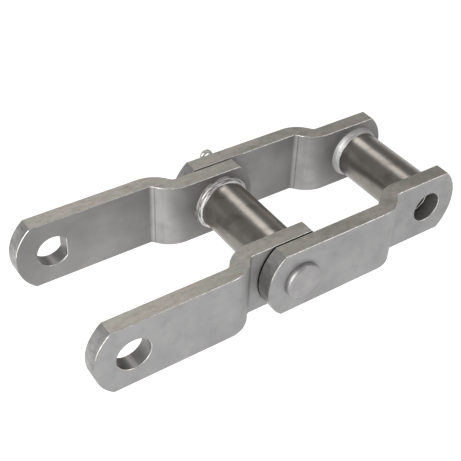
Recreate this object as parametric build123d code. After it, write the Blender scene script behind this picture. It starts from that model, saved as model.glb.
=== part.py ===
from build123d import *
import math
import os

# Two links of a cranked welded steel conveyor chain. All sizes are in millimetres.
# The origin is the middle of the open sleeve, on its axis. X runs along the chain,
# out of that sleeve's end; Y runs along the pins, from their heads to their split pins;
# Z runs up the height of the side plates.

# Side plates: flat steel bars, each cranked once so that its narrow end fits inside
# the wide end of the next link.
pitch = 101.6
plate_thickness = 9.5
plate_height = 41.0
wide_tip_reach = 21.7
wide_tip_crown = 9.8
narrow_tip_reach = 21.4
narrow_tip_crown = 8.7
plate_edge_break = 0.5
link_side_gap = 0.8

# Crank of a side plate, measured back from the sleeve's axis to the two inner corners.
crank_inner_corner = 41.0
crank_outer_corner = 27.6
crank_outer_radius = 19.0
crank_inner_radius = 20.0
crank_corner_radius = 2.5

# Sleeve: a length of thick tube between the narrow ends, with its bore eased at the ends.
sleeve_length = 58.7
sleeve_wall = 5.5
sleeve_bore_easing = 0.8

# Weld beads round both ends of the sleeve.
weld_leg_on_plate = 2.2
weld_leg_on_sleeve = 4.4
weld_clearance = 0.05

# Pin shaft: a headed shaft with one flat along its far end and a hole for the split pin.
pin_diameter = 19.05
pin_flat_depth = 1.9
pin_flat_lead = 0.5
pin_tail = 9.1
pin_end_chamfer = 1.5
head_diameter = 22.0
head_thickness = 3.6
head_edge_break = 1.3
running_clearance = 0.1
plate_hole_clearance = 0.075
flat_clearance = 0.1

# Dowel pin: a split pin bent from half-round wire, with its pear-shaped eye above the shaft.
# Its hole is drilled a few degrees off upright, so the pin leans towards the sleeve's end.
wire_radius = 1.5
dowel_lean = 9.0
leg_gap = 0.2
dowel_hole_clearance = 0.2
dowel_plate_clearance = 0.3
eye_inner_radius = 2.7
eye_taper = 18.0
neck_radius = 3.0
neck_lift = 0.4
leg_bend_radius = 4.0
leg_bend_angle = 50.0
leg_bend_drop = 0.3
short_leg = 5.0
long_leg = 6.5

# Levels across the chain, from its middle plane outwards.
narrow_inner = sleeve_length / 2
narrow_outer = narrow_inner + plate_thickness
wide_inner = narrow_outer + link_side_gap
wide_outer = wide_inner + plate_thickness

# Radii about a pin's axis.
pin_radius = pin_diameter / 2
bore_radius = pin_radius + running_clearance
hole_radius = pin_radius + plate_hole_clearance
sleeve_radius = bore_radius + sleeve_wall
flat_x = pin_radius - pin_flat_depth

# Where the split pin crosses the shaft, and where the shaft ends.
dowel_y = wide_outer + dowel_plate_clearance + wire_radius
pin_end = wide_outer + pin_tail


def rod(radius, y_from, y_to, x=0.0):
    # A round bar along Y.
    length = y_to - y_from
    return Pos(x, y_from + length / 2, 0) * Rot(90, 0, 0) * Cylinder(radius, length)


def crank_section():
    # The far plate's section as seen from above: a flat bar with one joggle.
    offset = wide_outer - narrow_outer
    tip_wide = -pitch - wide_tip_reach
    outer_start = -crank_outer_corner - math.sqrt(2 * crank_outer_radius * offset - offset**2)
    outer_sweep = math.degrees(math.acos(1 - offset / crank_outer_radius))
    inner_end = -crank_inner_corner + math.sqrt(2 * crank_inner_radius * offset - offset**2)
    inner_sweep = math.degrees(math.acos(1 - offset / crank_inner_radius))
    outer_centre = (outer_start, wide_outer - crank_outer_radius)
    inner_centre = (inner_end, narrow_inner + crank_inner_radius)
    outline = [
        Line((tip_wide, wide_outer), (outer_start, wide_outer)),
        CenterArc(outer_centre, crank_outer_radius, 90, -outer_sweep),
        Line((-crank_outer_corner, narrow_outer), (narrow_tip_reach, narrow_outer)),
        Line((narrow_tip_reach, narrow_outer), (narrow_tip_reach, narrow_inner)),
        Line((narrow_tip_reach, narrow_inner), (inner_end, narrow_inner)),
        CenterArc(inner_centre, crank_inner_radius, 270, -inner_sweep),
        Line((-crank_inner_corner, wide_inner), (tip_wide, wide_inner)),
        Line((tip_wide, wide_inner), (tip_wide, wide_outer)),
    ]
    return make_face(Wire(outline))


def side_outline():
    # The plate as seen from the side: straight edges and an arched tip at each end.
    half = plate_height / 2
    right = narrow_tip_reach - narrow_tip_crown
    left = -pitch - wide_tip_reach + wide_tip_crown
    outline = [
        Line((left, half), (right, half)),
        ThreePointArc((right, half), (narrow_tip_reach, 0), (right, -half)),
        Line((right, -half), (left, -half)),
        ThreePointArc((left, -half), (-pitch - wide_tip_reach, 0), (left, half)),
    ]
    return make_face(Wire(outline))


def plate_blank():
    # The far plate before its holes: cranked bar, arched tips, broken edges.
    bar = extrude(crank_section(), amount=plate_height / 2, both=True)
    for corner in ((-crank_outer_corner, narrow_outer), (-crank_inner_corner, wide_inner)):
        edge = bar.edges().filter_by(Axis.Z).sort_by_distance((corner[0], corner[1], 0))[0]
        bar = fillet(edge, crank_corner_radius)
    side = extrude(Plane.XZ * side_outline(), amount=wide_outer + plate_thickness, both=True)
    blank = bar & side
    across = blank.edges().filter_by(Axis.Y) + blank.edges().filter_by(Axis.Z)
    rims = [edge for edge in blank.edges() if edge not in across]
    return chamfer(rims, plate_edge_break)


def flatted(shape, x_axis, x_flat):
    # Cuts everything beyond one upright flat off a round bar lying on the given axis.
    size = shape.bounding_box().size
    reach = size.X + size.Z
    slab = Box(reach, 2 * size.Y, reach, align=(Align.MIN, Align.CENTER, Align.CENTER))
    centre = shape.bounding_box().center()
    return shape - Pos(x_axis + x_flat, centre.Y, 0) * slab


def far_plate(blank):
    # Round hole for the sleeve's pin, flatted hole that keys the link's own pin.
    round_hole = rod(bore_radius, narrow_inner - plate_thickness, narrow_outer + plate_thickness)
    tool = rod(hole_radius, wide_inner - plate_thickness, wide_outer + plate_thickness, -pitch)
    return blank - round_hole - flatted(tool, -pitch, flat_x + flat_clearance)


def near_plate(blank):
    # Mirrored blank with two round holes.
    near = mirror(blank, about=Plane.XZ)
    narrow_hole = rod(bore_radius, -narrow_outer - plate_thickness, -narrow_inner + plate_thickness)
    wide_hole = rod(hole_radius, -wide_outer - plate_thickness, -wide_inner + plate_thickness, -pitch)
    return near - narrow_hole - wide_hole


def sleeve():
    # Turned tube that butts against both narrow plates.
    tube = rod(sleeve_radius, -narrow_inner, narrow_inner)
    tube = tube - rod(bore_radius, -narrow_inner, narrow_inner)
    mouths = tube.edges().filter_by(GeomType.CIRCLE).sort_by(lambda edge: edge.radius)[:2]
    return chamfer(mouths, sleeve_bore_easing)


def far_weld():
    # Fillet bead in the corner between the sleeve and the far plate.
    root = sleeve_radius + weld_clearance
    foot = (root + weld_leg_on_plate, narrow_inner)
    toe = (root, narrow_inner - weld_leg_on_sleeve)
    outline = Polyline((root, narrow_inner), foot, toe, close=True)
    return revolve(make_face(outline), axis=Axis.Y)


def pin_shaft():
    # Headed shaft; the flat starts just before the far plate and runs out at the end.
    shaft = rod(pin_radius, -wide_outer, pin_end)
    end_rim = shaft.edges().filter_by(GeomType.CIRCLE).sort_by(Axis.Y)[-1]
    shaft = chamfer(end_rim, pin_end_chamfer)
    head = rod(head_diameter / 2, -wide_outer - head_thickness, -wide_outer)
    front_rim = head.edges().filter_by(GeomType.CIRCLE).sort_by(Axis.Y)[0]
    head = chamfer(front_rim, head_edge_break)
    keyed = flatted(rod(2 * pin_radius, wide_inner - pin_flat_lead, pin_end), 0, flat_x)
    waste = rod(2 * pin_radius, wide_inner - pin_flat_lead, pin_end) - keyed
    drill = Cylinder(wire_radius + dowel_hole_clearance, 4 * pin_radius)
    cross = Pos(0, dowel_y, 0) * Rot(0, dowel_lean, 0) * drill
    return head + shaft - waste - cross


def dowel_path():
    # The wire's flat side, from the short leg's tip over the eye to the long leg's tip.
    half_gap = leg_gap / 2
    neck_z = pin_radius + neck_lift
    taper = math.radians(eye_taper)
    neck_end = (half_gap + neck_radius * (1 - math.cos(taper)), neck_z + neck_radius * math.sin(taper))
    flank_end_x = eye_inner_radius * math.cos(taper)
    flank_end_z = neck_end[1] + (flank_end_x - neck_end[0]) / math.tan(taper)
    eye_z = flank_end_z + eye_inner_radius * math.sin(taper)
    bend_z = -pin_radius - leg_bend_drop
    bend_x = half_gap + leg_bend_radius
    angle = math.radians(leg_bend_angle)
    bend_end = (bend_x - leg_bend_radius * math.cos(angle), bend_z - leg_bend_radius * math.sin(angle))
    along = (math.sin(angle), -math.cos(angle))
    short_tip = (-bend_end[0] - short_leg * along[0], bend_end[1] + short_leg * along[1])
    long_tip = (bend_end[0] + long_leg * along[0], bend_end[1] + long_leg * along[1])
    neck_x = half_gap + neck_radius
    return Wire([
        Line(short_tip, (-bend_end[0], bend_end[1])),
        CenterArc((-bend_x, bend_z), leg_bend_radius, -leg_bend_angle, leg_bend_angle),
        Line((-half_gap, bend_z), (-half_gap, neck_z)),
        CenterArc((-neck_x, neck_z), neck_radius, 0, eye_taper),
        Line((-neck_end[0], neck_end[1]), (-flank_end_x, flank_end_z)),
        CenterArc((0, eye_z), eye_inner_radius, 180 + eye_taper, -180 - 2 * eye_taper),
        Line((flank_end_x, flank_end_z), neck_end),
        CenterArc((neck_x, neck_z), neck_radius, 180 - eye_taper, eye_taper),
        Line((half_gap, neck_z), (half_gap, bend_z)),
        CenterArc((bend_x, bend_z), leg_bend_radius, 180, leg_bend_angle),
        Line(bend_end, long_tip),
    ])


def dowel_pin():
    # Half-round wire swept along the path, its round side always outwards.
    path = Plane.XZ.offset(-dowel_y) * dowel_path()
    tangent = path % 0
    section_plane = Plane(path @ 0, x_dir=(-tangent.Z, 0, tangent.X), z_dir=tangent)
    disc = Circle(wire_radius)
    half = Rectangle(wire_radius, 2 * wire_radius, align=(Align.MIN, Align.CENTER))
    return Rot(0, dowel_lean, 0) * sweep(section_plane * (disc & half), path=path)


def link():
    # One welded link, its sleeve at the origin: two plates, the sleeve and a bead at each end.
    blank = plate_blank()
    bead = far_weld()
    return {
        "near_plate": near_plate(blank),
        "far_plate": far_plate(blank),
        "sleeve": sleeve(),
        "near_weld": mirror(bead, about=Plane.XZ),
        "far_weld": bead,
    }


pieces = {}
for name, solid in link().items():
    pieces[f"link_1_{name}"] = Pos(-pitch, 0, 0) * solid
    pieces[f"link_2_{name}"] = solid
pieces["pin_shaft"] = Pos(-pitch, 0, 0) * pin_shaft()
pieces["dowel_pin"] = Pos(-pitch, 0, 0) * dowel_pin()

os.makedirs("parts", exist_ok=True)
for node, solid in pieces.items():
    export_step(solid, f"parts/{node}.step")
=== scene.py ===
import bmesh
import bpy
import math
from mathutils import Matrix, Vector, noise


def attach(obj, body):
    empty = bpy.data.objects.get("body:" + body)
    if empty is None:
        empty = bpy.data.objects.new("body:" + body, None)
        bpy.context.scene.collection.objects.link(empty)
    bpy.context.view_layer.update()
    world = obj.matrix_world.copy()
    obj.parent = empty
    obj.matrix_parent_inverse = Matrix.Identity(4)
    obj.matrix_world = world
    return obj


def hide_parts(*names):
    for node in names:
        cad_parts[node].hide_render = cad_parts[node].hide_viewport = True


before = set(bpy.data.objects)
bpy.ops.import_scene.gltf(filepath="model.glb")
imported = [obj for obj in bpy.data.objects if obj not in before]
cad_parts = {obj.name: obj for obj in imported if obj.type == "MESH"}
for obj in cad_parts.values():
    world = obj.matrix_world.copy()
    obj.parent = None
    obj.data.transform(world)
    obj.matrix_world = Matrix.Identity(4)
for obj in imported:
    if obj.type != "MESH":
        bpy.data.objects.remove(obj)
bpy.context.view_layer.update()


# Side plates. Each is a flat steel bar, cranked once in a press, with both tips blanked
# to an arch and both holes punched; shot-blasted afterwards and lightly oiled.
# The far plate's wide end has a flat in its hole, which keys the link's own pin.
MM = 0.001
PITCH = 101.6 * MM
LINKS = (("link_1", -PITCH), ("link_2", 0.0))
PLATE_THICKNESS = 9.5 * MM
PLATE_HEIGHT = 41.0 * MM
WIDE_TIP_REACH = 21.7 * MM
WIDE_TIP_CROWN = 9.8 * MM
NARROW_TIP_REACH = 21.4 * MM
NARROW_TIP_CROWN = 8.7 * MM
NARROW_INNER = 29.35 * MM
WIDE_INNER = 39.65 * MM
CRANK_OFFSET = WIDE_INNER - NARROW_INNER
CRANK_INNER_CORNER = 41.0 * MM
CRANK_OUTER_CORNER = 27.6 * MM
CRANK_INNER_RADIUS = 20.0 * MM
CRANK_OUTER_RADIUS = 19.0 * MM
CRANK_CORNER_EASE = 1.3 * MM
PRESS_MARK = 39.8 * MM
PRESS_MARK_HALF = 0.25 * MM
PRESS_MARK_DEPTH = 0.1 * MM
BORE_RADIUS = 9.625 * MM
HOLE_RADIUS = 9.6 * MM
HOLE_FLAT = 7.725 * MM
ARRIS = 0.28 * MM
HOLE_ARRIS = 0.28 * MM
ARRIS_BRIGHT_ABOVE_OUTSIDE = 8.0 * MM
ARRIS_BRIGHT_ABOVE_INSIDE = 5.0 * MM


def srgb(code):
    """A hex colour as the linear values that the shader reads."""
    parts = [int(code[i:i + 2], 16) / 255 for i in (1, 3, 5)]
    linear = [c / 12.92 if c <= 0.04045 else ((c + 0.055) / 1.055) ** 2.4 for c in parts]
    return (*linear, 1.0)


def feed(tree, node, inputs):
    """Sets a node's inputs, each as a number or as a link."""
    for key, value in inputs.items():
        if isinstance(value, bpy.types.NodeSocket):
            tree.links.new(value, node.inputs[key])
        else:
            node.inputs[key].default_value = value


def put(tree, kind, settings, inputs):
    """Adds a shader node, with its settings and its inputs."""
    node = tree.nodes.new("ShaderNode" + kind)
    for key, value in settings.items():
        setattr(node, key, value)
    feed(tree, node, inputs)
    return node


def steel(name, metallic):
    """An empty material with a metal shader, its object coordinates and its tree."""
    material = bpy.data.materials.new(name)
    material.use_nodes = True
    tree = material.node_tree
    shader = tree.nodes["Principled BSDF"]
    shader.inputs["Metallic"].default_value = metallic
    place = put(tree, "TexCoord", {}, {}).outputs["Object"]
    return material, tree, shader, place


def mottled(tree, place, base, other, size, detail, roughness, start, full, share=1.0):
    """The base colour with the other laid over it in patches of a real size, where their
    noise runs from start to full. Gives the colour and the noise."""
    patches = put(tree, "TexNoise", {}, {
        "Vector": place, "Scale": 1 / size, "Detail": detail, "Roughness": roughness}).outputs[0]
    amount = put(tree, "MapRange", {}, {0: patches, 1: start, 2: full, 3: 0.0, 4: share})
    blend = put(tree, "Mix", {"data_type": "RGBA"}, {0: amount.outputs[0], 6: base, 7: other})
    return blend.outputs[2], patches


def blasted_bar(name, dull, bright):
    """Shot-blasted steel bar, with its colour not yet linked: cloudy by a few centimetres,
    with soft smudges left by handling, and grit pits drawn coarse enough to show."""
    material, tree, shader, place = steel(name, 0.8)
    cloudy, cloud = mottled(
        tree, place, srgb(dull), srgb(bright),
        size=24 * MM, detail=3.0, roughness=0.5, start=0.3, full=0.7)
    smudged = mottled(
        tree, place, cloudy, srgb("#858381"),
        size=7 * MM, detail=4.0, roughness=0.6, start=0.5, full=0.75, share=0.3)[0]
    pitted, grit = mottled(
        tree, place, smudged, srgb("#7C7B7A"),
        size=0.9 * MM, detail=2.0, roughness=0.6, start=0.58, full=0.78, share=0.25)
    satin = put(tree, "MapRange", {}, {0: cloud, 1: 0.3, 2: 0.7, 3: 0.6, 4: 0.54})
    pits = put(tree, "Bump", {}, {"Strength": 0.18, "Distance": 0.05 * MM, "Height": grit})
    feed(tree, shader, {"Roughness": satin.outputs[0], "Normal": pits.outputs[0]})
    return material, tree, shader, place, pitted


# Painted shade in the side gap of the joint: a dark line just inside the outline of the
# wide plate that lies over link_1's narrow end, where the gap is in shade.
NARROW_OUTER = NARROW_INNER + PLATE_THICKNESS
GAP_MIDDLE = (NARROW_OUTER + WIDE_INNER) / 2
TIP_ARCH = ((PLATE_HEIGHT / 2) ** 2 + WIDE_TIP_CROWN ** 2) / (2 * WIDE_TIP_CROWN)
GAP_SHADE_ACROSS = 0.55 * MM
GAP_SHADE_WIDTH = 1.6 * MM
GAP_SHADE_BLUR = 0.8 * MM


def gap_painted_shade(tree, place, colour):
    """The colour, with painted shade in a dark line where the joint's side gap lies."""
    axes = put(tree, "SeparateXYZ", {}, {0: place}).outputs
    across = put(tree, "Math", {"operation": "ABSOLUTE"}, {0: axes["Y"]})
    in_gap = put(tree, "Math", {"operation": "COMPARE"}, {
        0: across.outputs[0], 1: GAP_MIDDLE, 2: GAP_SHADE_ACROSS})
    side_view = put(tree, "CombineXYZ", {}, {0: axes["X"], 2: axes["Z"]})
    from_arch = put(tree, "VectorMath", {"operation": "DISTANCE"}, {
        0: side_view.outputs[0],
        1: (-PITCH - WIDE_TIP_REACH + TIP_ARCH, 0, 0)}).outputs["Value"]
    covered = put(tree, "Math", {"operation": "LESS_THAN"}, {0: from_arch, 1: TIP_ARCH})
    height = put(tree, "Math", {"operation": "ABSOLUTE"}, {0: axes["Z"]}).outputs[0]
    by_arch, by_edge = [
        put(tree, "MapRange", {}, {
            0: level, 1: outline - GAP_SHADE_WIDTH - GAP_SHADE_BLUR, 2: outline - GAP_SHADE_WIDTH})
        for level, outline in ((from_arch, TIP_ARCH), (height, PLATE_HEIGHT / 2))]
    line = put(tree, "Math", {"operation": "MAXIMUM"}, {
        0: by_arch.outputs[0], 1: by_edge.outputs[0]})
    shade_line = put(tree, "Math", {"operation": "MULTIPLY"}, {
        0: line.outputs[0], 1: covered.outputs[0]})
    share = put(tree, "Math", {"operation": "MULTIPLY"}, {
        0: shade_line.outputs[0], 1: in_gap.outputs[0]})
    # Painted shade: the dark line of the gap.
    return put(tree, "Mix", {"data_type": "RGBA"}, {
        0: share.outputs[0], 6: colour, 7: srgb("#2B2927")}).outputs[2]


# Rolled face on the outer side of a plate: an even satin grey from blasting, with the
# joint gap's painted shade laid over it.
rolled_face, tree, shader, place, colour = blasted_bar(
    "shot_blasted_rolled_face", "#A3A2A2", "#AFAEAE")
feed(tree, shader, {"Base Color": gap_painted_shade(tree, place, colour)})

# The inner side is a darker copy of the outer face's steel, as painted shade between the
# plates, and painted shade darkens it further towards the crank. The crank's slope is painted
# lighter in patches, a painted highlight, and the press tool's faint upright groove on it is
# painted dark, as painted shade in the groove. Round the weld the plate is darker in a halo.
SHADE_FROM = 72.0 * MM
SHADE_SHARE = 0.3
SLOPE_FROM = 41.6 * MM
SLOPE_BLUR_BEFORE = 0.5 * MM
SLOPE_BLUR_AFTER = 1.0 * MM
SLOPE_BRIGHT_TO = 36.0 * MM
SLOPE_DULL_FROM = 26.0 * MM
SLOPE_LEAN = 0.25
HIGHLIGHT_LEAST = 0.3
HIGHLIGHT_MOST = 0.58
GROOVE_SHADE_SHARE = 0.6
HALO_FULL = 17.0 * MM
HALO_END = 29.0 * MM
HALO_SHARE = 0.5
HALO_FROM = 150.0 * MM
# A darker copy of the outer face's steel, as painted shade between the plates.
inner_face, tree, shader, place, colour = blasted_bar(
    "shot_blasted_inner_face", "#8D8C8A", "#9F9E9D")
axes = put(tree, "SeparateXYZ", {}, {0: place}).outputs
link_x = put(tree, "Math", {"operation": "WRAP"}, {
    0: axes["X"], 1: HALO_END, 2: HALO_END - PITCH}).outputs[0]
# Painted shade, darker towards the crank.
towards_crank = put(tree, "MapRange", {}, {
    0: link_x, 1: -SHADE_FROM, 2: -SLOPE_FROM, 3: 0.0, 4: SHADE_SHARE})
before_crank = put(tree, "Math", {"operation": "LESS_THAN"}, {
    0: link_x, 1: -SLOPE_BRIGHT_TO})
shade = put(tree, "Math", {"operation": "MULTIPLY"}, {
    0: towards_crank.outputs[0], 1: before_crank.outputs[0]})
shaded = put(tree, "Mix", {"data_type": "RGBA"}, {
    0: shade.outputs[0], 6: colour, 7: srgb("#5E5B5A")})
# Painted highlight on the crank's slope, in patches, fading along it.
on_slope = put(tree, "MapRange", {}, {
    0: link_x, 1: -SLOPE_FROM - SLOPE_BLUR_BEFORE, 2: -SLOPE_FROM + SLOPE_BLUR_AFTER})
leaning = put(tree, "Math", {"operation": "MULTIPLY_ADD"}, {
    0: axes["Z"], 1: SLOPE_LEAN, 2: link_x})
fading = put(tree, "MapRange", {"interpolation_type": "SMOOTHSTEP"}, {
    0: leaning.outputs[0], 1: -SLOPE_BRIGHT_TO, 2: -SLOPE_DULL_FROM, 3: 1.0, 4: 0.0})
slope = put(tree, "Math", {"operation": "MULTIPLY"}, {
    0: on_slope.outputs[0], 1: fading.outputs[0]})
patches = put(tree, "TexNoise", {}, {
    "Vector": place, "Scale": 1 / (11 * MM), "Detail": 3.0, "Roughness": 0.5})
in_patches = put(tree, "MapRange", {}, {
    0: patches.outputs[0], 1: 0.35, 2: 0.6, 3: HIGHLIGHT_LEAST, 4: HIGHLIGHT_MOST})
slope_highlight = put(tree, "Math", {"operation": "MULTIPLY"}, {
    0: slope.outputs[0], 1: in_patches.outputs[0]})
highlit_slope = put(tree, "Mix", {"data_type": "RGBA"}, {
    0: slope_highlight.outputs[0], 6: shaded.outputs[2], 7: srgb("#BFBEBD")})
# Painted shade in the press tool's faint groove on the slope.
past_mark = put(tree, "Math", {"operation": "ADD"}, {0: link_x, 1: PRESS_MARK})
from_mark = put(tree, "Math", {"operation": "ABSOLUTE"}, {0: past_mark.outputs[0]})
mark = put(tree, "MapRange", {}, {
    0: from_mark.outputs[0], 1: 0.0, 2: 1.5 * PRESS_MARK_HALF, 3: GROOVE_SHADE_SHARE, 4: 0.0})
groove_shaded = put(tree, "Mix", {"data_type": "RGBA"}, {
    0: mark.outputs[0], 6: highlit_slope.outputs[2], 7: srgb("#5E5B5A")})
# The plate is darker in a halo round the weld.
side_view = put(tree, "CombineXYZ", {}, {0: link_x, 2: axes["Z"]})
from_axis = put(tree, "VectorMath", {"operation": "LENGTH"}, {0: side_view.outputs[0]})
by_weld = put(tree, "MapRange", {"interpolation_type": "SMOOTHSTEP"}, {
    0: from_axis.outputs["Value"], 1: HALO_FULL, 2: HALO_END, 3: HALO_SHARE, 4: 0.0})
has_weld = put(tree, "Math", {"operation": "GREATER_THAN"}, {0: axes["X"], 1: -HALO_FROM})
halo = put(tree, "Math", {"operation": "MULTIPLY"}, {
    0: by_weld.outputs[0], 1: has_weld.outputs[0]})
haloed = put(tree, "Mix", {"data_type": "RGBA"}, {
    0: halo.outputs[0], 6: groove_shaded.outputs[2], 7: srgb("#6A6663")})
feed(tree, shader, {"Base Color": haloed.outputs[2]})

# Slit edge of the bar: a little warmer than the face, because the scale stays on it, and
# mottled olive, pink and brown in patches of about a centimetre that run along the bar.
slit_edge, tree, shader, place = steel("slit_bar_edge", 0.85)
along = put(tree, "Mapping", {}, {"Vector": place, "Scale": (0.5, 1.0, 1.0)}).outputs[0]
olive, patch = mottled(
    tree, along, srgb("#A1A096"), srgb("#B2ABA4"),
    size=8 * MM, detail=4.0, roughness=0.6, start=0.4, full=0.6)
browned = mottled(
    tree, along, olive, srgb("#958B80"),
    size=5 * MM, detail=3.0, roughness=0.5, start=0.54, full=0.68, share=0.45)[0]
stained, stain = mottled(
    tree, along, browned, srgb("#827D74"),
    size=1.8 * MM, detail=4.0, roughness=0.6, start=0.52, full=0.7, share=0.4)
unstained = put(tree, "MapRange", {}, {0: stain, 1: 0.3, 2: 0.42, 3: 0.35, 4: 0.0})
glint = put(tree, "Mix", {"data_type": "RGBA"}, {
    0: unstained.outputs[0], 6: stained, 7: srgb("#CBC9C4")})
scaly = put(tree, "MapRange", {}, {0: patch, 1: 0.3, 2: 0.7, 3: 0.4, 4: 0.55})
pits = put(tree, "Bump", {}, {"Strength": 0.3, "Distance": 0.08 * MM, "Height": stain})
feed(tree, shader, {
    "Base Color": glint.outputs[2], "Roughness": scaly.outputs[0], "Normal": pits.outputs[0]})

# Blanked tip: the press leaves soft bright patches where it burnished the steel, and
# duller ones where it tore, a few millimetres across.
blanked_tip, tree, shader, place = steel("blanked_tip", 0.9)
across = put(tree, "Mapping", {}, {"Vector": place, "Scale": (1.0, 0.6, 1.0)}).outputs[0]
torn, tear = mottled(
    tree, across, srgb("#8A8987"), srgb("#A8A7A4"),
    size=4.5 * MM, detail=4.0, roughness=0.55, start=0.35, full=0.65)
burnish = put(tree, "MapRange", {}, {0: tear, 1: 0.3, 2: 0.7, 3: 0.52, 4: 0.38})
tears = put(tree, "Bump", {}, {"Strength": 0.3, "Distance": 0.08 * MM, "Height": tear})
feed(tree, shader, {
    "Base Color": torn, "Roughness": burnish.outputs[0], "Normal": tears.outputs[0]})

# Punched hole: the punch drags lines along its stroke, drawn coarse enough to show. The
# open holes of the wide end keep a dark film of grease on the side away from the chain.
GREASE_FULL = 6.0 * MM
GREASE_END = 1.0 * MM
GREASE_SHARE = 0.6
punched_hole, tree, shader, place = steel("punched_hole", 0.65)
stroke = put(tree, "Mapping", {}, {"Vector": place, "Scale": (1.0, 0.12, 1.0)}).outputs[0]
lines = put(tree, "TexNoise", {}, {
    "Vector": stroke, "Scale": 1 / (1.1 * MM), "Detail": 3.0, "Roughness": 0.6}).outputs[0]
dragged = put(tree, "Mix", {"data_type": "RGBA"}, {
    0: lines, 6: srgb("#7C7978"), 7: srgb("#9C9998")})
hole_x = put(tree, "SeparateXYZ", {}, {0: place}).outputs["X"]
grease = put(tree, "MapRange", {}, {
    0: hole_x, 1: -2 * PITCH - GREASE_FULL, 2: -2 * PITCH - GREASE_END,
    3: GREASE_SHARE, 4: 0.0})
greased = put(tree, "Mix", {"data_type": "RGBA"}, {
    0: grease.outputs[0], 6: dragged.outputs[2], 7: srgb("#3A3735")})
drags = put(tree, "Bump", {}, {"Strength": 0.25, "Distance": 0.05 * MM, "Height": lines})
feed(tree, shader, {"Base Color": greased.outputs[2], "Normal": drags.outputs[0]})
shader.inputs["Roughness"].default_value = 0.42

# Arris: the corner of the bar, rubbed bright where plates knock together, in short dashes,
# with the joint gap's painted shade laid over it.
worn_arris, tree, shader, place = steel("worn_arris", 1.0)
knocked = mottled(
    tree, place, srgb("#B8B6B1"), srgb("#E4E2DE"),
    size=1.6 * MM, detail=3.0, roughness=0.7, start=0.42, full=0.62)[0]
feed(tree, shader, {"Base Color": gap_painted_shade(tree, place, knocked)})
shader.inputs["Roughness"].default_value = 0.38

# The parts of a plate's skin, in the order of its materials.
ROLLED, SLIT, BLANKED, PUNCHED, WORN, INNER = range(6)
PLATE_SKIN = (rolled_face, slit_edge, blanked_tip, punched_hole, worn_arris, inner_face)

# How finely a plate is cut, and how its faces are told apart.
ARCH_STEPS = 36
HOLE_STEPS = 72
CUT_BEFORE_CRANK = 8 * MM
CUT_AFTER_CRANK = 16 * MM
CORNER_ZONE = 2 * MM
FINE_CUTS = 0.3 * MM
COARSE_CUTS = 0.9 * MM
MERGED = 0.001 * MM
NEARLY = 0.01 * MM
RIM_ANGLE = 1.0
SIDEWAYS = 0.9
UPRIGHT = 0.98
TIP_LEAN = 0.6
SMOOTH_UP_TO = math.radians(40)


def inner_level(x):
    """Distance of the plate's inner face from the chain's middle plane."""
    radius = CRANK_INNER_RADIUS
    flat_from = -CRANK_INNER_CORNER + math.sqrt(
        2 * radius * CRANK_OFFSET - CRANK_OFFSET ** 2)
    if x < -CRANK_INNER_CORNER:
        return WIDE_INNER
    if x > flat_from:
        return NARROW_INNER
    return NARROW_INNER + radius - math.sqrt(radius ** 2 - (x - flat_from) ** 2)


def outer_level(x):
    """Distance of the plate's outer face from the chain's middle plane."""
    radius = CRANK_OUTER_RADIUS
    wide_outer = WIDE_INNER + PLATE_THICKNESS
    flat_to = -CRANK_OUTER_CORNER - math.sqrt(2 * radius * CRANK_OFFSET - CRANK_OFFSET ** 2)
    if x > -CRANK_OUTER_CORNER:
        return NARROW_OUTER
    if x < flat_to:
        return wide_outer
    return wide_outer - radius + math.sqrt(radius ** 2 - (x - flat_to) ** 2)


def eased(level, x):
    """The level with its corner rounded off, as the press leaves it."""
    steps = [s / 4 for s in range(-4, 5)]
    return sum(level(x + s * CRANK_CORNER_EASE) for s in steps) / len(steps)


def press_mark(x):
    """Depth of the faint upright line that the press tool leaves on the crank."""
    return PRESS_MARK_DEPTH * max(0.0, 1 - abs(x + PRESS_MARK) / PRESS_MARK_HALF)


def arch(bm, x_side, x_tip, half):
    """One tip's arch, as a row of edges spun from the bar's upper or lower corner."""
    crown = x_tip - x_side
    radius = (half ** 2 + crown ** 2) / (2 * abs(crown))
    centre = x_tip - math.copysign(radius, crown)
    start = bm.verts.new((x_side, 0, math.copysign(half, crown)))
    spun = bmesh.ops.spin(bm, geom=[start], cent=(centre, 0, 0), axis=(0, 1, 0),
                          angle=2 * math.asin(half / radius), steps=ARCH_STEPS)
    end = [v for v in spun["geom_last"] if isinstance(v, bmesh.types.BMVert)][0]
    return start, end


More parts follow.
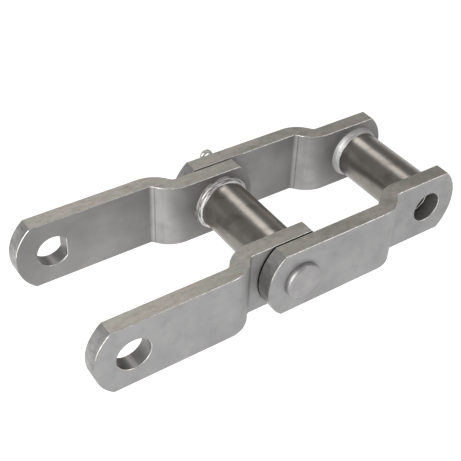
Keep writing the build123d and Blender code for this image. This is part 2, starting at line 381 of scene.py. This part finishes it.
def flat_blank(flatted):
    """The bar before it is cranked, on XZ, its inner face at Y = 0."""
    bm = bmesh.new()
    half = PLATE_HEIGHT / 2
    right_start, right_end = arch(
        bm, NARROW_TIP_REACH - NARROW_TIP_CROWN, NARROW_TIP_REACH, half)
    wide_tip = -PITCH - WIDE_TIP_REACH
    left_start, left_end = arch(bm, wide_tip + WIDE_TIP_CROWN, wide_tip, half)
    bm.edges.new((right_end, left_start))
    bm.edges.new((left_end, right_start))
    turned = Matrix.Rotation(math.pi / 2, 4, "X")
    bmesh.ops.create_circle(bm, segments=HOLE_STEPS, radius=BORE_RADIUS, matrix=turned)
    ring = bmesh.ops.create_circle(
        bm, segments=HOLE_STEPS, radius=HOLE_RADIUS,
        matrix=Matrix.Translation((-PITCH, 0, 0)) @ turned)["verts"]
    if flatted:
        rim = ring + list({e for v in ring for e in v.link_edges})
        cut = bmesh.ops.bisect_plane(bm, geom=rim, plane_co=(-PITCH + HOLE_FLAT, 0, 0),
                                     plane_no=(1, 0, 0), clear_outer=True)
        bm.edges.new([v for v in cut["geom_cut"] if isinstance(v, bmesh.types.BMVert)])
    bmesh.ops.triangle_fill(bm, use_beauty=True, edges=bm.edges[:], normal=(0, -1, 0))
    out = bmesh.ops.extrude_face_region(bm, geom=bm.faces[:])["geom"]
    bmesh.ops.translate(bm, verts=[v for v in out if isinstance(v, bmesh.types.BMVert)],
                        vec=(0, PLATE_THICKNESS, 0))
    bmesh.ops.recalc_face_normals(bm, faces=bm.faces[:])
    return bm


def meshed(name, bm):
    """The bmesh made a mesh, with its doubles merged and its faces turned outwards."""
    bmesh.ops.remove_doubles(bm, verts=bm.verts[:], dist=MERGED)
    bmesh.ops.recalc_face_normals(bm, faces=bm.faces[:])
    mesh = bpy.data.meshes.new(name)
    bm.to_mesh(mesh)
    bm.free()
    return mesh


def placed(name, data):
    """An object in the scene made of a mesh, a lamp or a camera."""
    thing = bpy.data.objects.new(name, data)
    bpy.context.scene.collection.objects.link(thing)
    return thing


def finished(name, bm, materials, body, node):
    """A finished piece made of the bmesh, riding on its body in place of its CAD node."""
    mesh = meshed(name, bm)
    for material in materials:
        mesh.materials.append(material)
    mesh.shade_smooth()
    mesh.set_sharp_from_angle(angle=SMOOTH_UP_TO)
    piece = placed(name, mesh)
    piece.modifiers.new("flat_faces", "WEIGHTED_NORMAL").keep_sharp = True
    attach(piece, body)
    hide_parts(node)


def about_hole(v):
    """Whether a corner of the blank lies round one of its holes."""
    from_axis = min(v.co.xz.length, (v.co.xz - Vector((-PITCH, 0))).length)
    return from_axis < BORE_RADIUS + NEARLY


def side_plate(name, body, node, x_axis, side, flatted):
    """A finished side plate in its place; side is 1 for a far plate and -1 for a near one."""
    bm = flat_blank(flatted)
    columns = [-PRESS_MARK + s * PRESS_MARK_HALF for s in (-1.0, -0.5, 0.0, 0.5, 1.0)]
    x = -CRANK_INNER_CORNER - CUT_BEFORE_CRANK
    while x < -CRANK_OUTER_CORNER + CUT_AFTER_CRANK:
        columns.append(x)
        to_corner = min(abs(x + CRANK_INNER_CORNER), abs(x + CRANK_OUTER_CORNER))
        x += FINE_CUTS if to_corner < CORNER_ZONE else COARSE_CUTS
    for x in columns:
        bmesh.ops.bisect_plane(bm, geom=bm.verts[:] + bm.edges[:] + bm.faces[:],
                               plane_co=(x, 0, 0), plane_no=(1, 0, 0))
    rims = [e for e in bm.edges if len(e.link_faces) == 2 and e.calc_face_angle() > RIM_ANGLE
            and abs(e.verts[0].co.y - e.verts[1].co.y) < NEARLY]
    for f in bm.faces:
        if abs(f.normal.y) > SIDEWAYS:
            f.material_index = ROLLED if f.normal.y > 0 else INNER
        elif all(about_hole(v) for v in f.verts):
            f.material_index = PUNCHED
        elif abs(f.normal.z) > UPRIGHT:
            f.material_index = SLIT
        else:
            f.material_index = BLANKED
    hole_rims = [e for e in rims if all(about_hole(v) for v in e.verts)]
    outer_rims = [e for e in rims if e not in hole_rims]
    for edges, width in ((outer_rims, ARRIS), (hole_rims, HOLE_ARRIS)):
        cut = bmesh.ops.bevel(bm, geom=edges, offset=width, offset_type="OFFSET",
                              affect="EDGES", segments=1, profile=0.5, material=-1,
                              clamp_overlap=True)
        for f in cut["faces"]:
            # Round the tips, only the arris above a height gets the bright arris finish; below
            # it, it keeps the tip's finish.
            bright_above = ARRIS_BRIGHT_ABOVE_OUTSIDE if f.normal.y > 0 else ARRIS_BRIGHT_ABOVE_INSIDE
            at_tip = edges is outer_rims and abs(f.normal.z) < TIP_LEAN
            below_bright = at_tip and f.calc_center_median().z < bright_above
            f.material_index = BLANKED if below_bright else WORN
    for v in bm.verts:
        share = v.co.y / PLATE_THICKNESS
        outer = eased(outer_level, v.co.x) - press_mark(v.co.x)
        v.co.y = side * ((1 - share) * eased(inner_level, v.co.x) + share * outer)
        v.co.x += x_axis
    finished(name, bm, PLATE_SKIN, body, node)


for body, x_axis in LINKS:
    side_plate(body + "_near_bar", body, body + "_near_plate", x_axis, -1, False)
    side_plate(body + "_far_bar", body, body + "_far_plate", x_axis, 1, True)


# Sleeves. Each is a length of turned steel tube between the narrow ends of a link, in
# which the next link's pin turns. Its mouths are eased, so that the pin finds its way in.
SLEEVE_HALF = NARROW_INNER
SLEEVE_RADIUS = 15.125 * MM
SLEEVE_STEPS = 144
MOUTH_EASE = 0.8 * MM
ALONG_PINS = (0, 1, 0)


def turned_round(outline, axis, steps, closed):
    """A round spun about an axis, from the corners of its section, each a radius and a
    level along the axis."""
    bm = bmesh.new()
    corners = [bm.verts.new(Vector((radius, 0, 0)) + level * Vector(axis))
               for radius, level in outline]
    for one, other in zip(corners, corners[1:] + (corners[:1] if closed else [])):
        bm.edges.new((one, other))
    bmesh.ops.spin(bm, geom=bm.verts[:] + bm.edges[:], cent=(0, 0, 0), axis=axis,
                   angle=2 * math.pi, steps=steps, use_merge=True)
    return bm


# Turned tube: oiled steel, a warm dark grey with one long soft highlight, which the
# lathe's feed lines, drawn coarse enough to show, blur across the tube.
turned_tube, tree, shader, place = steel("turned_tube", 0.95)
oiled, oil = mottled(
    tree, place, srgb("#8A857F"), srgb("#918C85"),
    size=12 * MM, detail=3.0, roughness=0.5, start=0.35, full=0.65)
smeared = mottled(
    tree, place, oiled, srgb("#65615B"),
    size=8 * MM, detail=2.0, roughness=0.4, start=0.52, full=0.7, share=0.5)[0]
rings = put(tree, "Mapping", {}, {"Vector": place, "Scale": (0.05, 1.0, 0.05)}).outputs[0]
lathe = put(tree, "TexNoise", {}, {
    "Vector": rings, "Scale": 1 / (0.7 * MM), "Detail": 2.0, "Roughness": 0.6}).outputs[0]
sheen = put(tree, "MapRange", {}, {0: oil, 1: 0.3, 2: 0.7, 3: 0.31, 4: 0.29})
grooves = put(tree, "Bump", {}, {"Strength": 0.04, "Distance": 0.03 * MM, "Height": lathe})
feed(tree, shader, {
    "Base Color": smeared, "Roughness": sheen.outputs[0], "Normal": grooves.outputs[0]})

# Bored inside of the tube: a dull neutral grey, rougher than the outside.
bored_tube, tree, shader, place = steel("bored_tube", 0.6)
rings = put(tree, "Mapping", {}, {"Vector": place, "Scale": (0.05, 1.0, 0.05)}).outputs[0]
bored = put(tree, "TexNoise", {}, {
    "Vector": rings, "Scale": 1 / (1.2 * MM), "Detail": 2.0, "Roughness": 0.6}).outputs[0]
bore_grey = put(tree, "Mix", {"data_type": "RGBA"}, {
    0: bored, 6: srgb("#757170"), 7: srgb("#918D8B")})
grooves = put(tree, "Bump", {}, {"Strength": 0.15, "Distance": 0.04 * MM, "Height": bored})
feed(tree, shader, {"Base Color": bore_grey.outputs[2], "Normal": grooves.outputs[0]})
shader.inputs["Roughness"].default_value = 0.5

# Eased mouth of the tube: painted near black, as painted shade in the mouth, between two
# edges that the pin has rubbed bright.
MOUTH_EDGE = 0.2 * MM
MOUTH_BLUR = 0.05 * MM
eased_mouth, tree, shader, place = steel("shaded_mouth", 0.9)
mouth_y = put(tree, "Math", {"operation": "ABSOLUTE"}, {
    0: put(tree, "SeparateXYZ", {}, {0: place}).outputs["Y"]})
past_middle = put(tree, "Math", {"operation": "SUBTRACT"}, {
    0: mouth_y.outputs[0], 1: SLEEVE_HALF - MOUTH_EASE / 2})
from_middle = put(tree, "Math", {"operation": "ABSOLUTE"}, {0: past_middle.outputs[0]})
at_edge = put(tree, "MapRange", {}, {
    0: from_middle.outputs[0],
    1: MOUTH_EASE / 2 - MOUTH_EDGE - MOUTH_BLUR, 2: MOUTH_EASE / 2 - MOUTH_EDGE})
# Painted shade in the mouth, between its two rubbed bright edges.
mouth_shade = put(tree, "Mix", {"data_type": "RGBA"}, {
    0: at_edge.outputs[0], 6: srgb("#1C1A19"), 7: srgb("#F0EEEA")})
feed(tree, shader, {"Base Color": mouth_shade.outputs[2]})
shader.inputs["Roughness"].default_value = 0.45

# The parts of a sleeve's skin, in the order of its materials.
TURNED, BORED, MOUTH = range(3)
SLEEVE_SKIN = (turned_tube, bored_tube, eased_mouth)

for body, x_axis in LINKS:
    bm = turned_round((
        (SLEEVE_RADIUS, -SLEEVE_HALF), (SLEEVE_RADIUS, SLEEVE_HALF),
        (BORE_RADIUS + MOUTH_EASE, SLEEVE_HALF), (BORE_RADIUS, SLEEVE_HALF - MOUTH_EASE),
        (BORE_RADIUS, -SLEEVE_HALF + MOUTH_EASE),
        (BORE_RADIUS + MOUTH_EASE, -SLEEVE_HALF)), ALONG_PINS, SLEEVE_STEPS, closed=True)
    for f in bm.faces:
        middle = f.calc_center_median()
        if middle.xz.length >= BORE_RADIUS + MOUTH_EASE:
            f.material_index = TURNED
        else:
            f.material_index = MOUTH if abs(middle.y) > SLEEVE_HALF - MOUTH_EASE else BORED
    bmesh.ops.translate(bm, verts=bm.verts[:], vec=(x_axis, 0, 0))
    finished(body + "_tube", bm, SLEEVE_SKIN, body, body + "_sleeve")


# Weld beads. One fillet bead runs round each end of a sleeve, and joins it to the plate.
# It is laid by hand in short steps, so it ripples and its edges wander, and a groove
# near the sleeve parts it from a thinner second run.
WELD_ROOT = 15.175 * MM
WELD_ON_SLEEVE = 4.4 * MM
BEAD_STEPS_ACROSS = 16
BEAD_STEPS_ROUND = 240
RUNS_MEET = 0.62
GROOVE_HALF = 0.12
RIPPLE_PITCH = 1.9 * MM
RIPPLE_SLANT = 2.5
RIPPLE_WANDER = 3.0
RIPPLE_SHARE = 0.7
LUMP_SIZE = 1.1 * MM
LUMP_SHARE = 0.2
UNEVEN_ROUND = 3
ROOT_TO = 0.5
ON_PLATE_TO = 0.01
ON_SLEEVE_FROM = 0.99

# Fillet bead: bright clean weld metal, with fine lines that run round it with the arc, and
# a brown toe on the plate. Link_2's beads were run more evenly, and show the lines less.
LINE_STRETCH = 0.12
EVEN_FROM = -60.0 * MM
EVEN_TO = -40.0 * MM
EVEN_SHARE = 0.75
TOE_FROM = 16.8 * MM
TOE_FULL = 17.7 * MM
TOE_SHARE = 0.45
bead_steel, tree, shader, place = steel("fillet_weld_bead", 1.0)
axes = put(tree, "SeparateXYZ", {}, {0: place}).outputs
link_x = put(tree, "Math", {"operation": "WRAP"}, {
    0: axes["X"], 1: HALO_END, 2: HALO_END - PITCH}).outputs[0]
side_view = put(tree, "CombineXYZ", {}, {0: link_x, 2: axes["Z"]})
from_axis = put(tree, "VectorMath", {"operation": "LENGTH"}, {
    0: side_view.outputs[0]}).outputs["Value"]
section = put(tree, "CombineXYZ", {}, {0: from_axis, 1: axes["Y"]})
along_bead = put(tree, "VectorMath", {"operation": "MULTIPLY_ADD"}, {
    0: place, 1: (LINE_STRETCH, LINE_STRETCH, LINE_STRETCH), 2: section.outputs[0]})
streaked, lines = mottled(
    tree, along_bead.outputs[0], srgb("#716D6A"), srgb("#E0DFDD"),
    size=0.9 * MM, detail=3.0, roughness=0.6, start=0.42, full=0.56)
evenness = put(tree, "MapRange", {}, {
    0: axes["X"], 1: EVEN_FROM, 2: EVEN_TO, 3: 0.0, 4: EVEN_SHARE})
even = put(tree, "Mix", {"data_type": "RGBA"}, {
    0: evenness.outputs[0], 6: streaked, 7: srgb("#C0BFBD")})
speckled, grain = mottled(
    tree, place, even.outputs[2], srgb("#A6A4A2"),
    size=0.8 * MM, detail=2.0, roughness=0.6, start=0.52, full=0.68, share=0.5)
at_toe = put(tree, "MapRange", {}, {
    0: from_axis, 1: TOE_FROM, 2: TOE_FULL, 3: 0.0, 4: TOE_SHARE})
toed = put(tree, "Mix", {"data_type": "RGBA"}, {
    0: at_toe.outputs[0], 6: speckled, 7: srgb("#837D78")})
rough = put(tree, "MapRange", {}, {0: lines, 1: 0.35, 2: 0.65, 3: 0.66, 4: 0.56})
grains = put(tree, "Bump", {}, {"Strength": 0.35, "Distance": 0.1 * MM, "Height": grain})
feed(tree, shader, {
    "Base Color": toed.outputs[2], "Roughness": rough.outputs[0], "Normal": grains.outputs[0]})


def bead(body, end, side, leg, bulge, groove, ripple, seed):
    """A fillet bead; leg is how far it reaches up the plate, and bulge how full it is."""
    fall = Vector((-leg, -WELD_ON_SLEEVE))
    out = Vector((WELD_ON_SLEEVE, -leg)).normalized()
    foot = Vector((WELD_ROOT + leg, NARROW_INNER))
    outline = [(WELD_ROOT, NARROW_INNER)]
    for share in [k / BEAD_STEPS_ACROSS for k in range(BEAD_STEPS_ACROSS + 1)]:
        seam = max(0.0, 1 - abs(share - RUNS_MEET) / GROOVE_HALF)
        fullness = 4 * share * (1 - share) * bulge - seam * groove
        outline.append(tuple(foot + share * fall + fullness * out))
    bm = turned_round(outline, ALONG_PINS, BEAD_STEPS_ROUND, closed=True)
    for v in bm.verts:
        share = (NARROW_INNER - v.co.y) / WELD_ON_SLEEVE
        if v.co.xz.length < WELD_ROOT + NEARLY and share < ROOT_TO:
            continue
        around = v.co.xz.normalized()
        uneven = noise.noise(
            Vector((UNEVEN_ROUND * around.x, UNEVEN_ROUND * around.y, seed)))
        lumps = noise.noise(v.co / LUMP_SIZE + Vector((seed, 0, 0)))
        phase = (math.atan2(v.co.z, v.co.x) * WELD_ROOT / RIPPLE_PITCH
                 + RIPPLE_SLANT * share + RIPPLE_WANDER * uneven)
        full = 4 * share * (1 - share)
        ripples = RIPPLE_SHARE * abs(math.sin(phase)) + LUMP_SHARE * lumps
        lift = ripple * (full * ripples + (1 - share) * uneven)
        v.co.x += lift * out.x * around.x
        v.co.z += lift * out.x * around.y
        off_plate = lift * out.y if share > ON_PLATE_TO else 0.0
        along_sleeve = 2 * ripple * uneven if share > ON_SLEEVE_FROM else 0.0
        v.co.y += off_plate + along_sleeve
    x_axis = dict(LINKS)[body]
    for v in bm.verts:
        v.co.y = side * v.co.y
        v.co.x += x_axis
    finished(f"{body}_{end}_bead", bm, (bead_steel,), body, f"{body}_{end}_weld")


for body, end, side, leg, bulge, groove, ripple, seed in (
        ("link_1", "far", 1, 2.7 * MM, 0.6 * MM, 0.4 * MM, 0.16 * MM, 1.0),
        ("link_1", "near", -1, 2.4 * MM, 0.5 * MM, 0.3 * MM, 0.16 * MM, 5.0),
        ("link_2", "far", 1, 2.0 * MM, 0.1 * MM, 0.05 * MM, 0.10 * MM, 9.0),
        ("link_2", "near", -1, 2.1 * MM, 0.2 * MM, 0.1 * MM, 0.12 * MM, 13.0)):
    bead(body, end, side, leg, bulge, groove, ripple, seed)


# Pin shaft. A headed round bar, forged and turned, pushed through both links from the
# near side. A flat along its far end keys it, and a cross hole there takes the dowel pin.
PIN_RADIUS = 9.525 * MM
PIN_STEPS = 120
PIN_END = 58.25 * MM
PIN_END_CUT = 1.5 * MM
HEAD_RADIUS = 11.0 * MM
HEAD_UNDERSIDE = 49.15 * MM
HEAD_THICKNESS = 3.6 * MM
HEAD_ROUNDING = 2.0 * MM
HEAD_BACK_EASE = 0.5 * MM
PIN_FLAT = 7.625 * MM
PIN_FLAT_FROM = 39.15 * MM
CROSS_HOLE_RADIUS = 1.7 * MM
CROSS_HOLE_LEVEL = 50.95 * MM
CROSS_HOLE_LEAN = 9.0
CROSS_HOLE_STEPS = 48
QUARTER_STEPS = 8

# Turned pin bar: a smooth even grey, rubbed a little brighter in cloudy patches.
pin_steel, tree, shader, place = steel("turned_pin_bar", 0.95)
pin_grey, wear = mottled(
    tree, place, srgb("#9E9C9C"), srgb("#A9A7A7"),
    size=6 * MM, detail=3.0, roughness=0.5, start=0.3, full=0.7)
scuff = put(tree, "TexNoise", {}, {
    "Vector": place, "Scale": 1 / (0.8 * MM), "Detail": 2.0, "Roughness": 0.6}).outputs[0]
worn = put(tree, "MapRange", {}, {0: wear, 1: 0.3, 2: 0.7, 3: 0.48, 4: 0.4})
scuffs = put(tree, "Bump", {}, {"Strength": 0.15, "Distance": 0.04 * MM, "Height": scuff})
feed(tree, shader, {
    "Base Color": pin_grey, "Roughness": worn.outputs[0], "Normal": scuffs.outputs[0]})

front = -HEAD_UNDERSIDE - HEAD_THICKNESS
outline = [(0, front)]
for k in range(QUARTER_STEPS + 1):
    turn = k / QUARTER_STEPS * math.pi / 2
    outline.append((HEAD_RADIUS - HEAD_ROUNDING * (1 - math.sin(turn)),
                    front + HEAD_ROUNDING * (1 - math.cos(turn))))
outline += [
    (HEAD_RADIUS, -HEAD_UNDERSIDE - HEAD_BACK_EASE),
    (HEAD_RADIUS - HEAD_BACK_EASE, -HEAD_UNDERSIDE),
    (PIN_RADIUS, -HEAD_UNDERSIDE), (PIN_RADIUS, PIN_END - PIN_END_CUT),
    (PIN_RADIUS - PIN_END_CUT, PIN_END), (0, PIN_END)]
bm = turned_round(outline, ALONG_PINS, PIN_STEPS, closed=False)
whole = placed("whole_pin", meshed("whole_pin", bm))

# What is cut away: the bar beside the flat, and the cross hole.
bm = bmesh.new()
waste = Vector((HEAD_RADIUS - PIN_FLAT, 2 * (PIN_END - PIN_FLAT_FROM), 4 * HEAD_RADIUS))
beside_flat = Matrix.Translation((PIN_FLAT + waste.x / 2, PIN_FLAT_FROM + waste.y / 2, 0))
bmesh.ops.create_cube(bm, size=1.0, matrix=beside_flat @ Matrix.Diagonal(waste).to_4x4())
leaning = Matrix.Rotation(math.radians(CROSS_HOLE_LEAN), 4, "Y")
bmesh.ops.create_cone(
    bm, cap_ends=True, segments=CROSS_HOLE_STEPS, radius1=CROSS_HOLE_RADIUS,
    radius2=CROSS_HOLE_RADIUS, depth=4 * PIN_RADIUS,
    matrix=Matrix.Translation((0, CROSS_HOLE_LEVEL, 0)) @ leaning)
cutter = placed("flat_and_hole", meshed("flat_and_hole", bm))
cut = whole.modifiers.new("cut", "BOOLEAN")
cut.operation = "DIFFERENCE"
cut.solver = "EXACT"
cut.use_self = True
cut.object = cutter
bpy.context.view_layer.update()
drawn = whole.evaluated_get(bpy.context.evaluated_depsgraph_get())
bm = bmesh.new()
bm.from_mesh(bpy.data.meshes.new_from_object(drawn))
for scrap in (whole, cutter):
    bpy.data.objects.remove(scrap)
bmesh.ops.translate(bm, verts=bm.verts[:], vec=(-PITCH, 0, 0))
for f in bm.faces:
    f.material_index = 0
finished("headed_pin", bm, (pin_steel,), "link_2", "pin_shaft")


# Dowel pin. A split pin bent from half-round wire, spread below the shaft.
# Drawn wire is bright and smooth, duller in patches a couple of millimetres across.
wire_steel, tree, shader, place = steel("drawn_half_round_wire", 1.0)
rub = put(tree, "TexNoise", {}, {
    "Vector": place, "Scale": 1 / (2 * MM), "Detail": 2.0, "Roughness": 0.5}).outputs[0]
wire_grey = put(tree, "Mix", {"data_type": "RGBA"}, {
    0: rub, 6: srgb("#A8A49C"), 7: srgb("#D2CFC8")})
rubbed = put(tree, "MapRange", {}, {0: rub, 1: 0.3, 2: 0.7, 3: 0.4, 4: 0.28})
feed(tree, shader, {"Base Color": wire_grey.outputs[2], "Roughness": rubbed.outputs[0]})
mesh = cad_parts["dowel_pin"].data
mesh.materials.clear()
mesh.materials.append(wire_steel)


# Floor and light. The chain is held above a wide sheet of pale paper, so that either link
# can hang from the other at the hinge's limits. The sheet curves up to a low wall all
# round, under soft lamps in a grey room.
FLOOR_LEVEL = -130 * MM
FLOOR_RADIUS = 3.0
FLOOR_STEPS = 96
WALL_BEND = 0.6
WALL_HEIGHT = 1.3
GLOW_BY_CHAIN = 0.52
GLOW_FAR = 0.7
GLOW_AT_TOP = 0.3
GLOW_TO_EYE = 1.15
GLOW_NEAR_REACH = 0.3
GLOW_FAR_REACH = 1.6
UPWARDS = (0, 0, 1)
outline = [(0, 0), (FLOOR_RADIUS, 0)]
for k in range(1, QUARTER_STEPS + 1):
    turn = k / QUARTER_STEPS * math.pi / 2
    outline.append((FLOOR_RADIUS + WALL_BEND * math.sin(turn),
                    WALL_BEND * (1 - math.cos(turn))))
outline.append((FLOOR_RADIUS + WALL_BEND, WALL_HEIGHT))
mesh = meshed("floor", turned_round(outline, UPWARDS, FLOOR_STEPS, closed=False))
mesh.transform(Matrix.Translation((-PITCH, 0, FLOOR_LEVEL)))
mesh.shade_smooth()
floor = placed("floor", mesh)

# Pale paper: matt, and white to the eye and in the steel, where it glows by itself. Its glow
# is weaker by the chain, a painted shade round it, and in the steel it fades up the wall.
paper = bpy.data.materials.new("pale_paper")
paper.use_nodes = True
tree = paper.node_tree
shader = tree.nodes["Principled BSDF"]
rays = put(tree, "LightPath", {}, {}).outputs
mirrored = put(tree, "Math", {"operation": "MAXIMUM"}, {
    0: rays["Is Camera Ray"], 1: rays["Is Glossy Ray"]})
seen = put(tree, "Math", {"operation": "MAXIMUM"}, {
    0: mirrored.outputs[0], 1: rays["Is Transmission Ray"]})
place = put(tree, "TexCoord", {}, {}).outputs["Object"]
spot = put(tree, "VectorMath", {"operation": "DISTANCE"}, {
    0: place, 1: (-PITCH, 0, FLOOR_LEVEL)})
# The glow is weaker by the chain: painted shade round it.
glow = put(tree, "MapRange", {"interpolation_type": "SMOOTHSTEP"}, {
    0: spot.outputs["Value"], 1: GLOW_NEAR_REACH, 2: GLOW_FAR_REACH,
    3: GLOW_BY_CHAIN, 4: GLOW_FAR})
level = put(tree, "SeparateXYZ", {}, {0: place}).outputs["Z"]
fade = put(tree, "MapRange", {"interpolation_type": "SMOOTHSTEP"}, {
    0: level, 1: 0.0, 2: WALL_HEIGHT, 3: 1.0, 4: GLOW_AT_TOP})
to_eye = put(tree, "Math", {"operation": "MULTIPLY"}, {
    0: rays["Is Camera Ray"], 1: GLOW_TO_EYE})
kept = put(tree, "Math", {"operation": "MAXIMUM"}, {0: fade.outputs[0], 1: to_eye.outputs[0]})
graded = put(tree, "Math", {"operation": "MULTIPLY"}, {
    0: glow.outputs[0], 1: kept.outputs[0]})
strength = put(tree, "Math", {"operation": "MULTIPLY"}, {
    0: seen.outputs[0], 1: graded.outputs[0]})
feed(tree, shader, {"Emission Strength": strength.outputs[0]})
shader.inputs["Base Color"].default_value = srgb("#D6D6D6")
shader.inputs["Roughness"].default_value = 0.9
shader.inputs["Specular IOR Level"].default_value = 0.0
shader.inputs["Emission Color"].default_value = (1, 1, 1, 1)
mesh.materials.append(paper)

room = bpy.data.worlds.new("grey_room")
room.use_nodes = True
backdrop = room.node_tree.nodes["Background"]
backdrop.inputs["Color"].default_value = srgb("#959595")
backdrop.inputs["Strength"].default_value = 1.0
bpy.context.scene.world = room

MIDDLE = Vector((-PITCH, 0, 0))
for name, direction, distance, width, radiance in (
        ("back_lamp", (0.16, 0.60, 0.785), 1.3, 0.5, 2.7),
        ("top_lamp", (0.30, -0.10, 0.95), 1.3, 0.9, 0.5),
        ("left_lamp", (-0.80, -0.25, 0.55), 1.4, 1.2, 2.8),
        ("low_lamp", (-0.93, -0.30, 0.12), 1.2, 0.9, 1.8),
        ("front_lamp", (-0.55, -0.75, 0.40), 0.9, 0.6, 1.0),
        ("right_lamp", (0.55, -0.65, 0.50), 1.4, 0.6, 2.2)):
    lamp = bpy.data.lights.new(name, "AREA")
    lamp.shape = "SQUARE"
    lamp.size = width
    lamp.energy = radiance * math.pi * width ** 2
    holder = placed(name, lamp)
    holder.location = MIDDLE + Vector(direction).normalized() * distance
    holder.rotation_euler = Vector(direction).to_track_quat("Z", "Y").to_euler()


# Camera. It looks down along the chain from the near side of its wide end.
lens = bpy.data.cameras.new("camera")
lens.sensor_width = 36.0
lens.lens = 69.93
lens.shift_x = -0.064
camera = placed("camera", lens)
camera.location = (-0.33774, -0.31367, 0.32508)
camera.rotation_euler = [math.radians(a) for a in (50.2292, -3.1443, -35.2487)]
bpy.context.scene.camera = camera
bpy.context.scene.view_settings.view_transform = "Standard"
